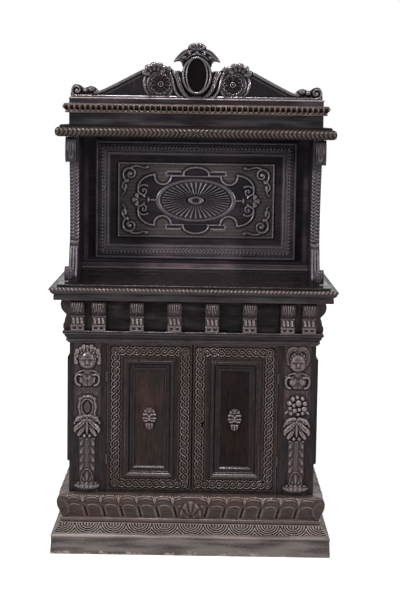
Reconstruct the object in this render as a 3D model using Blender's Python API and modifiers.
"""Carved credenza: a two-door cupboard with a frieze drawer and a raised niche back under a pediment.

Metres, +Z up, front towards -Y. The origin is the middle of the outline on the floor.
"""
import math

import bmesh
import bpy
from mathutils import Matrix, Vector

# Clearances
GAP = 0.0003
DOOR_CLEAR = 0.0035
DOOR_MEETING_GAP = 0.0016
HINGE_GAP = 0.0026
DRAWER_CLEAR = 0.0015

# Heights of the stacked stages, floor to cresting
PLINTH_FASCIA_H = 0.066
LUNETTE_H = 0.053
BEAD_H = 0.0155
GADROON_H = 0.0845
DOOR_OPENING_H = 0.571
ARCHITRAVE_H = 0.0475
FRIEZE_H = 0.1185
COUNTER_MOULD_H = 0.0485
COUNTER_BOARD_T = 0.0085
NICHE_H = 0.5395
SHELF_T = 0.045
ENTABLATURE_H = 0.1005
CARTOUCHE_H = 0.1885
CARTOUCHE_FOOT_H = 0.0135

# Plan of the carcass and the thickness of its boards
BODY_W = 0.918
BODY_D = 0.45
STILE_W = 0.1385
STILE_T = 0.025
SIDE_T = 0.022
BACK_T = 0.012
BOTTOM_T = 0.018
BASE_LIP = 0.03
INNER_SHELF_T = 0.018
INNER_SHELF_RISE = 0.268
INNER_SHELF_SETBACK = 0.06

# How far each moulding stands out from the carcass
PLINTH_OUT = 0.062
BEAD_OUT = 0.0286
GADROON_OUT = 0.0397
GADROON_FOOT_OUT = 0.021
GADROON_TOP_OUT = 0.03
GADROON_BULGE_DROP = 0.026
ARCHITRAVE_OUT = 0.0235
ARCHITRAVE_FOOT_OUT = 0.006
ARCHITRAVE_FILLET_H = 0.012
COUNTER_OUT = 0.0704
COUNTER_SOFFIT_OUT = 0.0525
COUNTER_EDGE_H = 0.011
COUNTER_BOARD_SETBACK = 0.027
COUNTER_BOARD_ROUND = 0.0025
SIDE_PANEL_T = 0.014
SIDE_PANEL_MARGIN_LOW = 0.102
SIDE_PANEL_MARGIN_TOP = 0.062
SIDE_PANEL_MARGIN_Y = 0.045
SIDE_PANEL_CHAMFER = 0.0045

# Frieze corbels
CORBEL_W = 0.051
CORBEL_OUT = 0.0345
CORBEL_FOOT_OUT = 0.024
CORBEL_FOOT_H = 0.018
CORBEL_WAIST_OUT = 0.015
CORBEL_SCROLL_R = 0.0245
CORBEL_SCROLL_H = 0.031
CORBEL_CLEAR = 0.001
CORBEL_EDGE_INSET = 0.031
CORBEL_STILE_INSET = 0.0285
CORBEL_DRAWER_PITCH = 0.139
CORBEL_DRAWER_COUNT = 4
SIDE_CORBEL_INSET = 0.0305

# Frieze drawer
DRAWER_FRONT_T = 0.025
DRAWER_WALL = 0.012
DRAWER_BOTTOM_T = 0.008
DRAWER_BOX_INSET = 0.012
DRAWER_BOX_DROP = 0.012
DRAWER_BACK_SPACE = 0.03
DUST_BOARD_T = 0.018
GUIDE_W = 0.018
GUIDE_H = 0.02
GUIDE_CLEAR = 0.001

# Doors
DOOR_T = 0.026
DOOR_STILE_W = 0.067
DOOR_RAIL_W = 0.0605
DOOR_MOULD_W = 0.039
DOOR_MOULD_OUT = 0.009
DOOR_MOULD_CHAMFER = 0.004
DOOR_MOULD_CREST_W = 0.01
DOOR_PANEL_T = 0.012
DOOR_PANEL_SINK = 0.007
MASK_W = 0.052
MASK_H = 0.084
MASK_OUT = 0.024
MASK_CHIN_W = 0.03
KEYHOLE_X = 0.04
KEYHOLE_RISE = 0.2655
KEYHOLE_R = 0.003
KEYHOLE_SLOT_H = 0.012

# Loose-pin hinges: height of each half, and how far the middles are from the foot and head of the door
HINGE_HALF_H = 0.019
HINGE_KNUCKLE_R = 0.004
HINGE_PIN_R = 0.0018
HINGE_BORE_CLEAR = 0.0004
HINGE_LEAF_T = 0.0008
HINGE_LEAF_D = 0.02
HINGE_FOOT_RISE = 0.1255
HINGE_HEAD_DROP = 0.123

# Rim lock on the back of the right door
LOCK_W = 0.062
LOCK_H = 0.044
LOCK_T = 0.014
LOCK_EDGE = 0.012
LOCK_BOLT_H = 0.014
LOCK_BOLT_T = 0.007
LOCK_BOLT_CLEAR = 0.0004

# Herm figures on the stiles: shares of the height and of the half-width, foot to crown
HERM_X_FROM_EDGE = 0.068
HERM_OUT = 0.027
HERM_HALF_W = 0.046
HERM_HEAD_CLEAR = 0.005
HERM_SHARES = (
    (0.000, 0.62), (0.025, 0.88), (0.053, 0.84), (0.064, 0.50), (0.212, 0.50), (0.336, 0.60),
    (0.380, 0.86), (0.459, 0.92), (0.505, 0.66), (0.565, 0.66), (0.622, 0.72), (0.668, 0.52),
    (0.707, 0.60), (0.756, 0.90), (0.799, 0.80), (0.823, 0.34), (0.841, 0.32), (0.869, 0.52),
    (0.919, 0.58), (0.954, 0.62), (0.975, 0.94), (1.000, 0.86),
)
HERM_SPIN_STEPS = 12

# Raised back: brackets, panel, strip, shelf
BRACKET_T = 0.034
BRACKET_BOARD_T = 0.01
BRACKET_UPRIGHT_D = 0.045
BRACKET_REACH = 0.0087
BRACKET_TOP_FRONT = 0.022
BRACKET_SHANK_FRONT = 0.02
BRACKET_WAIST_FRONT = 0.04
BRACKET_FOOT_FRONT = 0.006
BRACKET_TOP_H = 0.098
BRACKET_FOOT_H = 0.07
BRACKET_SCROLL_R = 0.02
BRACKET_SCROLL_OUT = 0.014
UPPER_BACK_T = 0.02
PANEL_FRAME_SIDE = 0.028
PANEL_FRAME_LOW = 0.0425
PANEL_FRAME_HEAD = 0.0225
PANEL_FRAME_W = 0.0515
PANEL_FRAME_T = 0.04
PANEL_FRAME_EDGE_T = 0.026
PANEL_FRAME_CHAMFER = 0.01
PANEL_FRAME_CREST_W = 0.02
PANEL_T = 0.024
MEDALLION_HALF_W = 0.165
MEDALLION_HALF_H = 0.088
MEDALLION_OUT = 0.012
STRIP_H = 0.0245
STRIP_T = 0.054
SHELF_OUT = 0.047

# Entablature and its cornice
ENT_SETBACK = 0.025
ENT_WALL = 0.02
ENT_TOP_T = 0.012
DENTIL_RISE = 0.043
DENTIL_H = 0.035
DENTIL_OUT = 0.0225
DENTIL_FOOT_OUT = 0.008
DENTIL_FILLET_H = 0.007

# Cresting: pediment board and the cartouche on its face
PEDIMENT_T = 0.03
PEDIMENT_SETBACK = 0.006
PEDIMENT_END_INSET = 0.0047
PEDIMENT_EDGE_H = 0.018
PEDIMENT_SCROLL_R = 0.024
PEDIMENT_FOOT_INSET = 0.101
PEDIMENT_FOOT_Z = 0.022
PEDIMENT_BUD_Z = 0.0285
PEDIMENT_RAKE_X = 0.202
PEDIMENT_RAKE_Z = 0.101
PEDIMENT_LEAF_X = 0.148
PEDIMENT_LEAF_Z = 0.1275
PEDIMENT_NECK_X = 0.06
PEDIMENT_NECK_Z = 0.1
ROSETTE_X = 0.1325
ROSETTE_Z = 0.0508
ROSETTE_R = 0.041
ROSETTE_OUT = 0.012
CARTOUCHE_T = 0.03
CARTOUCHE_ROUND = 0.0045
CARTOUCHE_HALF_W = 0.0555
CARTOUCHE_OVAL_H = 0.139
CARTOUCHE_HOOD_HALF = 0.0856
CARTOUCHE_HOOD_Z = 0.121
CARTOUCHE_TIP_W = 0.006
CARTOUCHE_TIP_H = 0.0155
CARTOUCHE_SHOULDER_HALF = 0.05
CARTOUCHE_SHOULDER_Z = 0.163
CARTOUCHE_CROWN_HALF = 0.0295

# Levels worked out from the stack
Z_LUNETTE = PLINTH_FASCIA_H
Z_BEAD = Z_LUNETTE + LUNETTE_H
Z_GADROON = Z_BEAD + BEAD_H
Z_BASE = Z_GADROON + GADROON_H
Z_ARCHITRAVE = Z_BASE + DOOR_OPENING_H
Z_FRIEZE = Z_ARCHITRAVE + ARCHITRAVE_H
Z_COUNTER = Z_FRIEZE + FRIEZE_H
Z_BOARD = Z_COUNTER + COUNTER_MOULD_H
Z_NICHE = Z_BOARD + COUNTER_BOARD_T
Z_SHELF = Z_NICHE + NICHE_H
Z_ENTABLATURE = Z_SHELF + SHELF_T
Z_CREST = Z_ENTABLATURE + ENTABLATURE_H

# Plan lines worked out from the sizes above
BODY_HALF = BODY_W / 2
Y_BACK = (BODY_D + max(COUNTER_OUT, PLINTH_OUT)) / 2
Y_FRONT = Y_BACK - BODY_D
INSIDE_HALF = BODY_HALF - SIDE_T
OPENING_HALF = BODY_HALF - STILE_W
Y_STILE_BACK = Y_FRONT + STILE_T
Y_BOARD_BACK = Y_BACK - BACK_T
Y_DOOR_BACK = Y_FRONT + DOOR_T
Y_ENT = Y_FRONT + ENT_SETBACK
DOOR_EDGE = OPENING_HALF - HINGE_GAP
HINGE_X = OPENING_HALF - HINGE_GAP / 2
HINGE_Y = Y_FRONT - HINGE_KNUCKLE_R - GAP
DOOR_Z0 = Z_BASE + DOOR_CLEAR
DOOR_Z1 = Z_ARCHITRAVE - DOOR_CLEAR
DOOR_X0 = DOOR_MEETING_GAP / 2
Y_UPPER_BACK = Y_BACK - UPPER_BACK_T
BRACKET_HALF = BODY_HALF + BRACKET_REACH
PANEL_FRAME_HALF = BRACKET_HALF - BRACKET_T - PANEL_FRAME_SIDE
PEDIMENT_HALF = BRACKET_HALF - PEDIMENT_END_INSET
PEDIMENT_FOOT_X = PEDIMENT_HALF - PEDIMENT_FOOT_INSET
KEYHOLE_Z = DOOR_Z0 + KEYHOLE_RISE
HINGE_Z = (DOOR_Z0 + HINGE_FOOT_RISE, DOOR_Z1 - HINGE_HEAD_DROP)

OVAL_STEPS = 32
OVAL_ANGLES = [math.tau * step / OVAL_STEPS for step in range(OVAL_STEPS)]

BLACK_WOOD = (0.022, 0.019, 0.019)
INNER_WOOD = (0.12, 0.07, 0.04)
OLD_IRON = (0.05, 0.045, 0.042)


def clear_scene():
    """Start from an empty scene."""
    for item in list(bpy.data.objects):
        bpy.data.objects.remove(item, do_unlink=True)


def new_collection(name):
    """Make a collection in the scene."""
    found = bpy.data.collections.new(name)
    bpy.context.scene.collection.children.link(found)
    return found


def finish_material(name, colour, roughness, metallic):
    """A Principled material of one piece."""
    material = bpy.data.materials.new(name)
    material.use_nodes = True
    shader = material.node_tree.nodes["Principled BSDF"]
    shader.inputs["Base Color"].default_value = (*colour, 1.0)
    shader.inputs["Roughness"].default_value = roughness
    shader.inputs["Metallic"].default_value = metallic
    return material


def add_piece(name, mesh, colour=BLACK_WOOD, location=(0, 0, 0), parent=None):
    """Put a mesh into the parts collection with a material of its own."""
    piece = bpy.data.objects.new(name, mesh)
    metallic = 0.9 if colour is OLD_IRON else 0.0
    piece.data.materials.append(finish_material(name, colour, 0.45, metallic))
    PARTS.objects.link(piece)
    piece.location = location
    if parent is not None:
        piece.parent = parent
        piece.location = Vector(location) - parent.location
    return piece


def add_cutter(name, mesh):
    """Put a mesh into the cutters collection, out of sight."""
    cutter = bpy.data.objects.new(name, mesh)
    cutter.hide_render = True
    cutter.display_type = "WIRE"
    CUTTERS.objects.link(cutter)
    return cutter


def mesh_from(bm, name):
    """Close a bmesh into a mesh with its faces out."""
    bmesh.ops.recalc_face_normals(bm, faces=bm.faces)
    mesh = bpy.data.meshes.new(name)
    bm.to_mesh(mesh)
    bm.free()
    return mesh


def block_mesh(name, low, high, centre=(0, 0, 0)):
    """A box between two corners, its mesh measured from centre."""
    bm = bmesh.new()
    size = Vector(high) - Vector(low)
    middle = (Vector(high) + Vector(low)) / 2 - Vector(centre)
    bmesh.ops.create_cube(bm, size=1.0)
    bmesh.ops.scale(bm, vec=size, verts=bm.verts)
    bmesh.ops.translate(bm, vec=middle, verts=bm.verts)
    return mesh_from(bm, name)


def block(name, low, high, colour=BLACK_WOOD, parent=None):
    """A board between two corners."""
    centre = (Vector(low) + Vector(high)) / 2
    return add_piece(name, block_mesh(name, low, high, centre), colour, centre, parent)


def cylinder_mesh(name, radius, start, end, segments=16):
    """A round bar between two points of one axis."""
    bm = bmesh.new()
    along = Vector(end) - Vector(start)
    bmesh.ops.create_cone(
        bm, cap_ends=True, segments=segments, radius1=radius, radius2=radius, depth=along.length
    )
    turn = Vector((0, 0, 1)).rotation_difference(along).to_matrix()
    bmesh.ops.rotate(bm, matrix=turn, verts=bm.verts)
    bmesh.ops.translate(bm, vec=(Vector(start) + Vector(end)) / 2, verts=bm.verts)
    return mesh_from(bm, name)


def combine(piece, other, operation):
    """Cut or join a piece with a hidden cutter."""
    modifier = piece.modifiers.new(other.name, "BOOLEAN")
    modifier.operation = operation
    modifier.object = other


def soften(piece, width, segments=2):
    """Round the sharp edges of a piece."""
    bevel = piece.modifiers.new("soft_edges", "BEVEL")
    bevel.width = width
    bevel.segments = segments
    bevel.limit_method = "ANGLE"


def loft_mesh(name, sections, closed):
    """Carry one outline through like sections, and cap the two ends unless the path closes."""
    bm = bmesh.new()
    loops = [[bm.verts.new(point) for point in section] for section in sections]
    count = len(loops[0])
    spans = len(loops) if closed else len(loops) - 1
    for span in range(spans):
        here = loops[span]
        there = loops[(span + 1) % len(loops)]
        for index in range(count):
            after = (index + 1) % count
            bm.faces.new((here[index], here[after], there[after], there[index]))
    if not closed:
        bm.faces.new(loops[0])
        bm.faces.new(loops[-1])
    return mesh_from(bm, name)


def wrap_moulding(name, profile, half, front, back):
    """A moulding mitred round the front and both sides; profile holds (out, height) points."""
    left_back = [(-half - out, back, z) for out, z in profile]
    left_front = [(-half - out, front - out, z) for out, z in profile]
    right_front = [(half + out, front - out, z) for out, z in profile]
    right_back = [(half + out, back, z) for out, z in profile]
    return add_piece(name, loft_mesh(name, (left_back, left_front, right_front, right_back), False))


def ring_frame(name, profile, low, high, parent=None):
    """A mitred rectangle in the X-Z plane; profile holds (distance inwards, y) points."""
    (x0, z0), (x1, z1) = low, high
    corners = ((x0, z0, 1, 1), (x1, z0, -1, 1), (x1, z1, -1, -1), (x0, z1, 1, -1))
    sections = []
    for x, z, inward_x, inward_z in corners:
        sections.append([(x + inward_x * run, y, z + inward_z * run) for run, y in profile])
    mesh = loft_mesh(name, sections, True)
    if parent is not None:
        mesh.transform(Matrix.Translation(-parent.location))
        return add_piece(name, mesh, location=parent.location, parent=parent)
    return add_piece(name, mesh)


def outline_mesh(name, points, thickness, turn):
    """A flat outline as a filled 2D curve, given its thickness and turned into place."""
    curve = bpy.data.curves.new(name, "CURVE")
    curve.dimensions = "2D"
    curve.fill_mode = "BOTH"
    curve.extrude = thickness / 2
    spline = curve.splines.new("POLY")
    spline.points.add(len(points) - 1)
    for target, (u, v) in zip(spline.points, points):
        target.co = (u, v, 0, 1)
    spline.use_cyclic_u = True
    holder = bpy.data.objects.new(name, curve)
    bpy.context.scene.collection.objects.link(holder)
    graph = bpy.context.evaluated_depsgraph_get()
    mesh = bpy.data.meshes.new_from_object(holder.evaluated_get(graph))
    bpy.data.objects.remove(holder, do_unlink=True)
    bpy.data.curves.remove(curve)
    bm = bmesh.new()
    bm.from_mesh(mesh)
    bpy.data.meshes.remove(mesh)
    bmesh.ops.remove_doubles(bm, verts=bm.verts, dist=0.00001)
    bmesh.ops.rotate(bm, matrix=turn, verts=bm.verts)
    return mesh_from(bm, name)


# Local X and Y of an outline go to world Y and Z (cut across X), or to world X and Z (cut across Y)
ACROSS_X = Matrix(((0, 0, 1), (1, 0, 0), (0, 1, 0)))
ACROSS_Y = Matrix(((1, 0, 0), (0, 0, -1), (0, 1, 0)))


def arc(centre, radius, start, end, steps, stretch=1.0):
    """Points on an arc, in degrees, its height stretched."""
    points = []
    for step in range(steps + 1):
        angle = math.radians(start + (end - start) * step / steps)
        rise = stretch * radius * math.sin(angle)
        points.append((centre[0] + radius * math.cos(angle), centre[1] + rise))
    return points


def ogee(start, end, steps):
    """Points on an S-curve that leaves and arrives upright: out follows a cosine of the height."""
    points = []
    for step in range(steps + 1):
        part = step / steps
        blend = (1 - math.cos(math.pi * part)) / 2
        points.append((start[0] + (end[0] - start[0]) * blend, start[1] + (end[1] - start[1]) * part))
    return points


def make_base():
    """Plinth with its sloping lunette top, and the gadrooned moulding over it."""
    plinth = [
        (-BASE_LIP, 0), (PLINTH_OUT, 0), (PLINTH_OUT, Z_LUNETTE),
        (BEAD_OUT, Z_BEAD - GAP), (-BASE_LIP, Z_BEAD - GAP),
    ]
    wrap_moulding("plinth", plinth, BODY_HALF, Y_FRONT, Y_BACK)
    bulge_z = Z_BASE - GADROON_BULGE_DROP
    bead = arc((BEAD_OUT - BEAD_H / 2, Z_BEAD + BEAD_H / 2), BEAD_H / 2, -90, 90, 4)
    gadroon = [(-BASE_LIP, Z_BEAD), *bead, (GADROON_FOOT_OUT, Z_GADROON)]
    gadroon += ogee((GADROON_FOOT_OUT, Z_GADROON + GAP), (GADROON_OUT, bulge_z), 4)
    gadroon += [(GADROON_TOP_OUT, Z_BASE), (-BASE_LIP, Z_BASE)]
    wrap_moulding("gadroon_moulding", gadroon, BODY_HALF, Y_FRONT, Y_BACK)


def make_carcass():
    """Sides, stiles, back, bottom, inner shelf and the raised side panels."""
    foot = Z_BASE + GAP
    head = Z_BOARD - GAP
    block(
        "bottom_board", (-INSIDE_HALF + GAP, max(Y_STILE_BACK + GAP, Y_DOOR_BACK + DOOR_CLEAR), foot),
        (INSIDE_HALF - GAP, Y_BOARD_BACK - GAP, foot + BOTTOM_T), INNER_WOOD,
    )
    block(
        "back_board", (-INSIDE_HALF + GAP, Y_BOARD_BACK, foot), (INSIDE_HALF - GAP, Y_BACK, head), INNER_WOOD
    )
    shelf_z = foot + BOTTOM_T + INNER_SHELF_RISE
    block(
        "inner_shelf", (-INSIDE_HALF + GAP, Y_DOOR_BACK + INNER_SHELF_SETBACK, shelf_z),
        (INSIDE_HALF - GAP, Y_BOARD_BACK - GAP, shelf_z + INNER_SHELF_T), INNER_WOOD,
    )
    for side, sign in (("left", -1), ("right", 1)):
        x_in = sign * INSIDE_HALF
        x_out = sign * BODY_HALF
        low, high = sorted((x_in, x_out))
        block(f"side_{side}", (low, Y_STILE_BACK + GAP, foot), (high, Y_BACK, head))
        low, high = sorted((sign * OPENING_HALF, x_out))
        block(f"stile_{side}", (low, Y_FRONT, foot), (high, Y_STILE_BACK, head))
        low, high = sorted((x_out + sign * GAP, x_out + sign * (GAP + SIDE_PANEL_T)))
        panel = block(
            f"side_panel_{side}",
            (low, Y_FRONT + SIDE_PANEL_MARGIN_Y, Z_BASE + SIDE_PANEL_MARGIN_LOW),
            (high, Y_BACK - SIDE_PANEL_MARGIN_Y, Z_ARCHITRAVE - SIDE_PANEL_MARGIN_TOP),
        )
        soften(panel, SIDE_PANEL_CHAMFER, 1)


def make_drawer_rail():
    """Rail over the doors, with the dust board and the two guides that the drawer runs between."""
    board_z = Z_FRIEZE - DUST_BOARD_T
    y_in = Y_STILE_BACK + GAP
    rail = block(
        "drawer_rail", (-INSIDE_HALF + GAP, y_in, board_z), (INSIDE_HALF - GAP, Y_BOARD_BACK - GAP, Z_FRIEZE)
    )
    nose = block_mesh(
        "rail_nose", (-OPENING_HALF + GAP, Y_FRONT, Z_ARCHITRAVE),
        (OPENING_HALF - GAP, y_in + DUST_BOARD_T, Z_FRIEZE),
    )
    combine(rail, add_cutter("rail_nose", nose), "UNION")
    inner = OPENING_HALF - DRAWER_BOX_INSET + GUIDE_CLEAR
    for side, sign in (("left", -1), ("right", 1)):
        low, high = sorted((sign * inner, sign * (inner + GUIDE_W)))
        guide = block_mesh(
            f"guide_{side}", (low, y_in + DUST_BOARD_T, board_z + GAP),
            (high, Y_BOARD_BACK - DRAWER_BACK_SPACE, Z_FRIEZE + GUIDE_H),
        )
        combine(rail, add_cutter(f"guide_{side}", guide), "UNION")


def make_mouldings():
    """Architrave under the frieze and the counter's edge moulding, both mitred round three sides."""
    x_face = BODY_HALF + GAP
    y_face = Y_FRONT - GAP
    fillet_z = Z_FRIEZE - ARCHITRAVE_FILLET_H
    architrave = [(0, Z_ARCHITRAVE)]
    architrave += ogee((ARCHITRAVE_FOOT_OUT, Z_ARCHITRAVE), (ARCHITRAVE_OUT, fillet_z), 5)
    architrave += [(ARCHITRAVE_OUT, Z_FRIEZE - GAP), (0, Z_FRIEZE - GAP)]
    wrap_moulding("architrave", architrave, x_face, y_face, Y_BACK)
    edge_z = Z_BOARD - COUNTER_EDGE_H
    counter = [(0, Z_COUNTER), *ogee((COUNTER_SOFFIT_OUT, Z_COUNTER), (COUNTER_OUT - GAP, edge_z), 5)]
    counter += [(COUNTER_OUT - GAP, Z_BOARD - GAP), (0, Z_BOARD - GAP)]
    wrap_moulding("counter_moulding", counter, x_face, y_face, Y_BACK)
    reach = COUNTER_OUT - COUNTER_BOARD_SETBACK
    top = block(
        "counter_top", (-BODY_HALF - reach, Y_FRONT - reach, Z_BOARD),
        (BODY_HALF + reach, Y_BACK, Z_NICHE - GAP),
    )
    soften(top, COUNTER_BOARD_ROUND)


def corbel_points():
    """Side outline of a corbel, (out, up): square foot, hollow waist and a bulging scroll."""
    height = FRIEZE_H - DRAWER_CLEAR - CORBEL_CLEAR
    scroll_z = height - CORBEL_SCROLL_H
    points = [(0, 0), (CORBEL_FOOT_OUT, 0), (CORBEL_FOOT_OUT, CORBEL_FOOT_H)]
    points += ogee((CORBEL_WAIST_OUT, CORBEL_FOOT_H), (CORBEL_OUT, scroll_z), 5)
    round_up = CORBEL_SCROLL_H / CORBEL_SCROLL_R
    points += arc((CORBEL_OUT - CORBEL_SCROLL_R, scroll_z), CORBEL_SCROLL_R, 18, 90, 4, stretch=round_up)
    points.append((0, height))
    return points


def corbel(name, x, parent=None):
    """A corbel on the front of the frieze."""
    points = [(-out, up) for out, up in corbel_points()]
    place = (x, Y_FRONT - GAP, Z_FRIEZE + CORBEL_CLEAR)
    add_piece(name, outline_mesh(name, points, CORBEL_W, ACROSS_X), location=place, parent=parent)


def side_corbel(name, sign, y):
    """A corbel on one side of the frieze."""
    points = [(sign * out, up) for out, up in corbel_points()]
    place = (sign * (BODY_HALF + GAP), y, Z_FRIEZE + CORBEL_CLEAR)
    add_piece(name, outline_mesh(name, points, CORBEL_W, ACROSS_Y), location=place)


def make_corbels():
    """The corbels that stay on the carcass."""
    for side, sign in (("left", -1), ("right", 1)):
        corbel(f"corbel_outer_{side}", sign * (BODY_HALF - CORBEL_EDGE_INSET))
        corbel(f"corbel_stile_{side}", sign * (OPENING_HALF + CORBEL_STILE_INSET))
        side_corbel(f"corbel_side_front_{side}", sign, Y_FRONT + SIDE_CORBEL_INSET)
        side_corbel(f"corbel_side_back_{side}", sign, Y_BACK - SIDE_CORBEL_INSET)


def half_turned(name, profile, half_w, out, steps):
    """A turned profile, flattened front to back and kept as its front half with a flat back."""
    bm = bmesh.new()
    rim = [(0.0, profile[0][0])] + [(half_w * part, z) for z, part in profile] + [(0.0, profile[-1][0])]
    verts = [bm.verts.new((x, 0, z)) for x, z in rim]
    edges = [bm.edges.new(pair) for pair in zip(verts, verts[1:])]
    bmesh.ops.spin(
        bm, geom=verts + edges, cent=(0, 0, 0), axis=(0, 0, -1), dvec=(0, 0, 0), angle=math.pi, steps=steps
    )
    bmesh.ops.remove_doubles(bm, verts=bm.verts, dist=0.00001)
    bmesh.ops.scale(bm, vec=(1, out / half_w, 1), verts=bm.verts)
    bmesh.ops.holes_fill(bm, edges=[edge for edge in bm.edges if edge.is_boundary], sides=0)
    return mesh_from(bm, name)


def make_herms():
    """The carved half-figures applied to the stiles."""
    for side, sign in (("left", -1), ("right", 1)):
        name = f"herm_{side}"
        height = DOOR_OPENING_H - HERM_HEAD_CLEAR
        profile = [(height * rise, part) for rise, part in HERM_SHARES]
        mesh = half_turned(name, profile, HERM_HALF_W, HERM_OUT, HERM_SPIN_STEPS)
        x = sign * (BODY_HALF - HERM_X_FROM_EDGE)
        add_piece(name, mesh, location=(x, Y_FRONT - GAP, Z_BASE + GAP))


def make_drawer():
    """Drawer front, its box and the corbels that it carries."""
    rig = bpy.data.objects.new("drawer_slide", None)
    PARTS.objects.link(rig)
    rig.location = (0, Y_FRONT, Z_FRIEZE)
    half = OPENING_HALF - DRAWER_CLEAR
    top = Z_COUNTER - DRAWER_CLEAR
    y_box = Y_FRONT + DRAWER_FRONT_T
    block("drawer_front", (-half, Y_FRONT, Z_FRIEZE + CORBEL_CLEAR), (half, y_box, top), parent=rig)
    low = Vector((-OPENING_HALF + DRAWER_BOX_INSET, y_box + GAP, Z_FRIEZE + GAP))
    y_end = Y_BOARD_BACK - DRAWER_BACK_SPACE
    high = Vector((OPENING_HALF - DRAWER_BOX_INSET, y_end, top - DRAWER_BOX_DROP))
    box = block("drawer_box", low, high, INNER_WOOD, parent=rig)
    wall = Vector((DRAWER_WALL, DRAWER_WALL, 0))
    floor = low + wall + Vector((0, 0, DRAWER_BOTTOM_T))
    hollow = block_mesh("drawer_hollow", floor, high - wall + Vector((0, 0, DRAWER_BOX_DROP)))
    combine(box, add_cutter("drawer_hollow", hollow), "DIFFERENCE")
    for number in range(CORBEL_DRAWER_COUNT):
        x = CORBEL_DRAWER_PITCH * (number - (CORBEL_DRAWER_COUNT - 1) / 2)
        corbel(f"corbel_drawer_{number + 1}", x, parent=rig)


def mask_profile():
    """Half-widths of the mask from chin to brow, as (height, share of the half-width)."""
    chin = MASK_CHIN_W / MASK_W
    brow = [(MASK_H * (0.45 + 0.55 * math.sin(a)), math.cos(a)) for a in (0.0, 0.4, 0.8, 1.2)]
    return [(0.0, chin * 0.5), (MASK_H * 0.08, chin), *brow, (MASK_H, 0.12)]


def make_door(side, sign):
    """One door: frame, raised moulding, panel, mask pull and the door's half of each hinge."""
    rig = bpy.data.objects.new(f"{side}_door_hinge", None)
    PARTS.objects.link(rig)
    rig.location = (sign * HINGE_X, HINGE_Y, 0)
    x0, x1 = sorted((sign * DOOR_X0, sign * DOOR_EDGE))
    door = block(f"door_frame_{side}", (x0, Y_FRONT, DOOR_Z0), (x1, Y_DOOR_BACK, DOOR_Z1), parent=rig)
    open_low = (x0 + DOOR_STILE_W, DOOR_Z0 + DOOR_RAIL_W)
    open_high = (x1 - DOOR_STILE_W, DOOR_Z1 - DOOR_RAIL_W)
    window = block_mesh(
        f"door_window_{side}", (open_low[0], Y_FRONT - DOOR_T, open_low[1]),
        (open_high[0], Y_DOOR_BACK + DOOR_T, open_high[1]),
    )
    combine(door, add_cutter(f"door_window_{side}", window), "DIFFERENCE")
    y_panel = Y_FRONT + DOOR_PANEL_SINK
    y_panel_back = y_panel + DOOR_PANEL_T
    y_crest = Y_FRONT - DOOR_MOULD_OUT
    crest = (GAP + DOOR_MOULD_CHAMFER, GAP + DOOR_MOULD_CHAMFER + DOOR_MOULD_CREST_W)
    moulding = [(GAP, y_panel_back), (GAP, y_crest + DOOR_MOULD_CHAMFER)]
    moulding += [(crest[0], y_crest), (crest[1], y_crest), (crest[1] + DOOR_MOULD_CREST_W, Y_FRONT)]
    moulding += [(DOOR_MOULD_W, y_panel - DOOR_MOULD_CHAMFER / 2), (DOOR_MOULD_W, y_panel_back)]
    ring_frame(f"door_moulding_{side}", moulding, open_low, open_high, parent=rig)
    inset = DOOR_MOULD_W + GAP
    block(
        f"door_panel_{side}", (open_low[0] + inset, y_panel, open_low[1] + inset),
        (open_high[0] - inset, y_panel_back, open_high[1] - inset), parent=rig,
    )
    mask = half_turned(f"mask_pull_{side}", mask_profile(), MASK_W / 2, MASK_OUT, 10)
    middle = Vector(((x0 + x1) / 2, y_panel - GAP, (DOOR_Z0 + DOOR_Z1 - MASK_H) / 2))
    add_piece(f"mask_pull_{side}", mask, location=middle, parent=rig)
    make_hinges(side, sign, rig)
    return door, rig


def make_hinges(side, sign, rig):
    """Loose-pin hinges: a pin knuckle on the stile and a bored knuckle over it on the door."""
    x_axis = sign * HINGE_X
    y_leaf = HINGE_Y + HINGE_LEAF_D
    for level, z in zip(("lower", "upper"), HINGE_Z):
        name = f"hinge_pin_{level}_{side}"
        axis = Vector((x_axis, HINGE_Y, z))
        knuckle = cylinder_mesh(name, HINGE_KNUCKLE_R, (0, 0, -HINGE_HALF_H), (0, 0, -GAP / 2))
        pin_half = add_piece(name, knuckle, OLD_IRON, axis)
        pin_foot = (0, 0, -HINGE_HALF_H / 2)
        pin = cylinder_mesh(f"{name}_pin", HINGE_PIN_R, pin_foot, (0, 0, HINGE_HALF_H - GAP))
        rod = add_cutter(f"{name}_pin", pin)
        rod.location = axis
        combine(pin_half, rod, "UNION")
        low, high = sorted((x_axis, x_axis + sign * (HINGE_GAP / 2 - GAP)))
        leaf = block_mesh(f"{name}_leaf", (low, HINGE_Y, z - HINGE_HALF_H), (high, y_leaf, z - GAP / 2))
        combine(pin_half, add_cutter(f"{name}_leaf", leaf), "UNION")
        name = f"hinge_knuckle_{level}_{side}"
        knuckle = cylinder_mesh(name, HINGE_KNUCKLE_R, (0, 0, GAP / 2), (0, 0, HINGE_HALF_H))
        door_half = add_piece(name, knuckle, OLD_IRON, axis, rig)
        low, high = sorted((x_axis - sign * HINGE_LEAF_T / 2, x_axis - sign * (HINGE_GAP / 2 - GAP)))
        leaf = block_mesh(
            f"{name}_leaf", (low, HINGE_Y, z + GAP / 2), (high, y_leaf, z + HINGE_HALF_H)
        )
        combine(door_half, add_cutter(f"{name}_leaf", leaf), "UNION")
        bore_r = HINGE_PIN_R + HINGE_BORE_CLEAR
        hole = cylinder_mesh(f"{name}_bore", bore_r, (0, 0, -GAP), (0, 0, HINGE_HALF_H + GAP))
        bore = add_cutter(f"{name}_bore", hole)
        bore.location = axis
        combine(door_half, bore, "DIFFERENCE")


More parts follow.
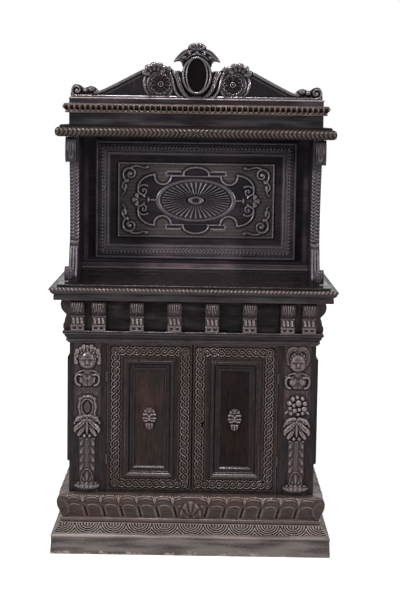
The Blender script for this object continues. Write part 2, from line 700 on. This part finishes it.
def make_lock(door, rig):
    """Keyhole through the right door, and the rim lock behind it with its sliding bolt."""
    y_in = Y_FRONT - DOOR_T
    y_out = Y_DOOR_BACK + DOOR_T
    hole_in = (KEYHOLE_X, y_in, KEYHOLE_Z)
    hole_out = (KEYHOLE_X, y_out, KEYHOLE_Z)
    hole = cylinder_mesh("keyhole", KEYHOLE_R, hole_in, hole_out, 12)
    slot = block_mesh(
        "keyhole_slot", (KEYHOLE_X - KEYHOLE_R / 2, y_in, KEYHOLE_Z - KEYHOLE_SLOT_H),
        (KEYHOLE_X + KEYHOLE_R / 2, y_out, KEYHOLE_Z),
    )
    combine(door, add_cutter("keyhole", hole), "DIFFERENCE")
    combine(door, add_cutter("keyhole_slot", slot), "DIFFERENCE")
    y0 = Y_DOOR_BACK + GAP
    z0 = KEYHOLE_Z - LOCK_H / 2
    x_end = LOCK_EDGE + LOCK_W
    case = block("lock_case", (LOCK_EDGE, y0, z0), (x_end, y0 + LOCK_T, z0 + LOCK_H), OLD_IRON, rig)
    middle_y = y0 + LOCK_T / 2
    half_t = LOCK_BOLT_T / 2 + LOCK_BOLT_CLEAR
    half_h = LOCK_BOLT_H / 2 + LOCK_BOLT_CLEAR
    tunnel = block_mesh(
        "lock_tunnel", (0, middle_y - half_t, KEYHOLE_Z - half_h),
        (x_end + LOCK_EDGE, middle_y + half_t, KEYHOLE_Z + half_h),
    )
    combine(case, add_cutter("lock_tunnel", tunnel), "DIFFERENCE")
    block(
        "lock_bolt", (DOOR_X0, middle_y - LOCK_BOLT_T / 2, KEYHOLE_Z - LOCK_BOLT_H / 2),
        (x_end, middle_y + LOCK_BOLT_T / 2, KEYHOLE_Z + LOCK_BOLT_H / 2), OLD_IRON, rig,
    )


def bracket_points():
    """Side outline of a bracket, (y, z): rolled head, long hollow shank and a scrolled foot."""
    low = Z_NICHE
    high = Z_SHELF - GAP
    y_top = Y_ENT + BRACKET_TOP_FRONT - BRACKET_SCROLL_R
    y_shank = Y_ENT + BRACKET_SHANK_FRONT
    y_waist = Y_ENT + BRACKET_WAIST_FRONT
    y_foot = Y_ENT + BRACKET_FOOT_FRONT - BRACKET_SCROLL_R
    head_z = high - BRACKET_TOP_H
    foot_z = low + BRACKET_FOOT_H
    middle_z = (head_z + foot_z) / 2
    points = [(Y_BACK, low), (Y_BACK, high), (y_top, high), (y_top, head_z + BRACKET_SCROLL_R)]
    points += ogee((y_top, head_z + BRACKET_SCROLL_R), (y_shank, head_z - BRACKET_SCROLL_R), 4)[1:]
    points += ogee((y_shank, head_z - BRACKET_SCROLL_R), (y_waist, middle_z), 5)[1:]
    points += ogee((y_waist, middle_z), (y_foot, foot_z), 6)[1:]
    points += [(y_foot, low)]
    return points


def make_brackets():
    """The two brackets that carry the shelf: an upright with a rolled head and foot, and a thin board behind."""
    y_board = Y_ENT + BRACKET_WAIST_FRONT + BRACKET_UPRIGHT_D
    for side, sign in (("left", -1), ("right", 1)):
        name = f"bracket_{side}"
        mesh = outline_mesh(name, bracket_points(), BRACKET_T, ACROSS_X)
        x = sign * (BRACKET_HALF - BRACKET_T / 2)
        cheek = add_piece(name, mesh, location=(x, 0, 0))
        x_in = sign * (BRACKET_HALF - BRACKET_T + GAP)
        x_out = sign * (BRACKET_HALF + BRACKET_SCROLL_OUT)
        y_head = Y_ENT + BRACKET_TOP_FRONT
        y_foot = Y_ENT + BRACKET_FOOT_FRONT
        z_head = Z_SHELF - BRACKET_TOP_H / 2
        z_foot = Z_NICHE + BRACKET_SCROLL_R + GAP
        for end, y, z in (("head", y_head, z_head), ("foot", y_foot, z_foot)):
            roll = cylinder_mesh(f"{name}_{end}", BRACKET_SCROLL_R, (x_in, y, z), (x_out, y, z), 14)
            combine(cheek, add_cutter(f"{name}_{end}", roll), "UNION")
        x_low, x_high = sorted((sign * (BRACKET_HALF - 2 * BRACKET_T), sign * (BRACKET_HALF - BRACKET_BOARD_T)))
        low = (x_low, y_board, Z_NICHE - BRACKET_T)
        high = (x_high, Y_BACK + BRACKET_T, Z_SHELF + BRACKET_T)
        recess = block_mesh(f"{name}_recess", low, high)
        combine(cheek, add_cutter(f"{name}_recess", recess), "DIFFERENCE")


def make_back():
    """Back of the niche: boarding, mitred frame, panel with its oval boss, and the strip below."""
    inside = BRACKET_HALF - BRACKET_BOARD_T - GAP
    block("upper_back", (-inside, Y_UPPER_BACK, Z_NICHE), (inside, Y_BACK, Z_SHELF - GAP))
    y_strip = Y_UPPER_BACK - STRIP_T
    block("back_strip", (-inside, y_strip, Z_NICHE), (inside, Y_UPPER_BACK - GAP, Z_NICHE + STRIP_H))
    low = (-PANEL_FRAME_HALF, Z_NICHE + PANEL_FRAME_LOW)
    high = (PANEL_FRAME_HALF, Z_SHELF - PANEL_FRAME_HEAD)
    y_back = Y_UPPER_BACK - GAP
    y_face = Y_UPPER_BACK - PANEL_FRAME_T
    y_low = Y_UPPER_BACK - PANEL_FRAME_EDGE_T
    crest = (PANEL_FRAME_CHAMFER, PANEL_FRAME_CHAMFER + PANEL_FRAME_CREST_W)
    profile = [(0, y_back), (0, y_low), (crest[0], y_face), (crest[1], y_face)]
    profile += [(PANEL_FRAME_W, y_low), (PANEL_FRAME_W, y_back)]
    ring_frame("panel_frame", profile, low, high)
    inset = PANEL_FRAME_W + GAP
    panel = block(
        "back_panel", (low[0] + inset, Y_UPPER_BACK - PANEL_T, low[1] + inset),
        (high[0] - inset, y_back, high[1] - inset),
    )
    rise = [(MEDALLION_HALF_W * math.cos(a), MEDALLION_HALF_H * math.sin(a)) for a in OVAL_ANGLES]
    boss = add_cutter("medallion", outline_mesh("medallion", rise, MEDALLION_OUT * 2, ACROSS_Y))
    boss.location = (0, Y_UPPER_BACK - PANEL_T, (low[1] + high[1]) / 2)
    combine(panel, boss, "UNION")


def make_shelf():
    """The shelf over the niche, half-round on its front and side edges."""
    radius = (SHELF_T - GAP) / 2
    middle = Z_SHELF + radius
    edge = arc((SHELF_OUT - radius, middle), radius, -90, 90, 6)
    sections = []
    for out, z in edge:
        half = BRACKET_HALF + out
        face = Y_ENT - out
        sections.append([(-half, Y_BACK, z), (-half, face, z), (half, face, z), (half, Y_BACK, z)])
    add_piece("shelf_board", loft_mesh("shelf_board", sections, False))


def make_entablature():
    """Casing of the entablature, hollow from below, with the dentil cornice round it."""
    low = (-BRACKET_HALF, Y_ENT, Z_ENTABLATURE)
    casing = block("entablature", low, (BRACKET_HALF, Y_BACK, Z_CREST - GAP))
    hollow = block_mesh(
        "entablature_hollow", (-BRACKET_HALF + ENT_WALL, Y_ENT + ENT_WALL, Z_ENTABLATURE - ENT_WALL),
        (BRACKET_HALF - ENT_WALL, Y_BACK - ENT_WALL, Z_CREST - ENT_TOP_T),
    )
    combine(casing, add_cutter("entablature_hollow", hollow), "DIFFERENCE")
    low = Z_ENTABLATURE + DENTIL_RISE
    high = low + DENTIL_H
    shoulder = high - DENTIL_FILLET_H
    dentil = [(0, low), *ogee((DENTIL_FOOT_OUT, low), (DENTIL_OUT, shoulder - DENTIL_FILLET_H), 4)]
    dentil += [(DENTIL_OUT, shoulder), (DENTIL_FOOT_OUT, high), (0, high)]
    wrap_moulding("dentil_cornice", dentil, BRACKET_HALF + GAP, Y_ENT - GAP, Y_BACK)


def pediment_points():
    """Outline of the pediment: end scrolls, raking slopes, leaf bosses and a neck behind the cartouche."""
    scroll_x = PEDIMENT_HALF - PEDIMENT_SCROLL_R
    half = [(PEDIMENT_HALF, 0), (PEDIMENT_HALF, PEDIMENT_EDGE_H)]
    half += arc((scroll_x, PEDIMENT_EDGE_H), PEDIMENT_SCROLL_R, 15, 150, 6, stretch=1.15)
    half.append((PEDIMENT_FOOT_X + PEDIMENT_SCROLL_R, PEDIMENT_BUD_Z))
    half.append((PEDIMENT_FOOT_X, PEDIMENT_FOOT_Z))
    half.append((PEDIMENT_RAKE_X, PEDIMENT_RAKE_Z))
    leaf_r = PEDIMENT_RAKE_X - PEDIMENT_LEAF_X
    rise = (PEDIMENT_LEAF_Z - PEDIMENT_RAKE_Z) / leaf_r
    half += arc((PEDIMENT_LEAF_X, PEDIMENT_RAKE_Z), leaf_r, 20, 160, 6, stretch=rise)
    half += [(PEDIMENT_NECK_X, PEDIMENT_NECK_Z)]
    return half + [(-x, z) for x, z in reversed(half)]


def cartouche_points():
    """Outline of the cartouche: oval shield under a spreading hood with a small crown."""
    foot = -CARTOUCHE_FOOT_H
    oval = CARTOUCHE_OVAL_H / 2
    squash = oval / CARTOUCHE_HALF_W
    half = arc((0, oval), CARTOUCHE_HALF_W, -90, 24, 9, stretch=squash)
    half.append((CARTOUCHE_HOOD_HALF, CARTOUCHE_HOOD_Z))
    tip = (CARTOUCHE_HOOD_HALF - CARTOUCHE_TIP_W, CARTOUCHE_HOOD_Z + CARTOUCHE_TIP_H)
    half += ogee(tip, (CARTOUCHE_SHOULDER_HALF, CARTOUCHE_SHOULDER_Z), 3)
    crown = (CARTOUCHE_H - CARTOUCHE_SHOULDER_Z) / CARTOUCHE_CROWN_HALF
    half += arc((0, CARTOUCHE_SHOULDER_Z), CARTOUCHE_CROWN_HALF, 20, 90, 4, stretch=crown)
    points = half + [(-x, z) for x, z in reversed(half[1:-1])]
    return [(x, z - foot) for x, z in points]


def make_cresting():
    """Pediment board with its rosettes, and the cartouche on its face."""
    front = Y_ENT + PEDIMENT_SETBACK
    board = add_piece(
        "pediment", outline_mesh("pediment", pediment_points(), PEDIMENT_T, ACROSS_Y),
        location=(0, front + PEDIMENT_T / 2, Z_CREST),
    )
    for side, sign in (("left", -1), ("right", 1)):
        spot = (sign * ROSETTE_X, Z_CREST + ROSETTE_Z)
        face = (spot[0], front - ROSETTE_OUT, spot[1])
        root = (spot[0], front + ROSETTE_OUT, spot[1])
        disc = cylinder_mesh(f"rosette_{side}", ROSETTE_R, face, root, 20)
        combine(board, add_cutter(f"rosette_{side}", disc), "UNION")
    shield = outline_mesh("cartouche", cartouche_points(), CARTOUCHE_T, ACROSS_Y)
    piece = add_piece("cartouche", shield, location=(0, front - GAP - CARTOUCHE_T / 2, Z_CREST))
    soften(piece, CARTOUCHE_ROUND)


def main():
    """Build the pieces, floor to cresting."""
    make_base()
    make_carcass()
    make_drawer_rail()
    make_mouldings()
    make_corbels()
    make_herms()
    make_drawer()
    make_door("left", -1)
    right_door, right_rig = make_door("right", 1)
    make_lock(right_door, right_rig)
    make_brackets()
    make_back()
    make_shelf()
    make_entablature()
    make_cresting()


clear_scene()
PARTS = new_collection("credenza")
CUTTERS = new_collection("cutters")
main()
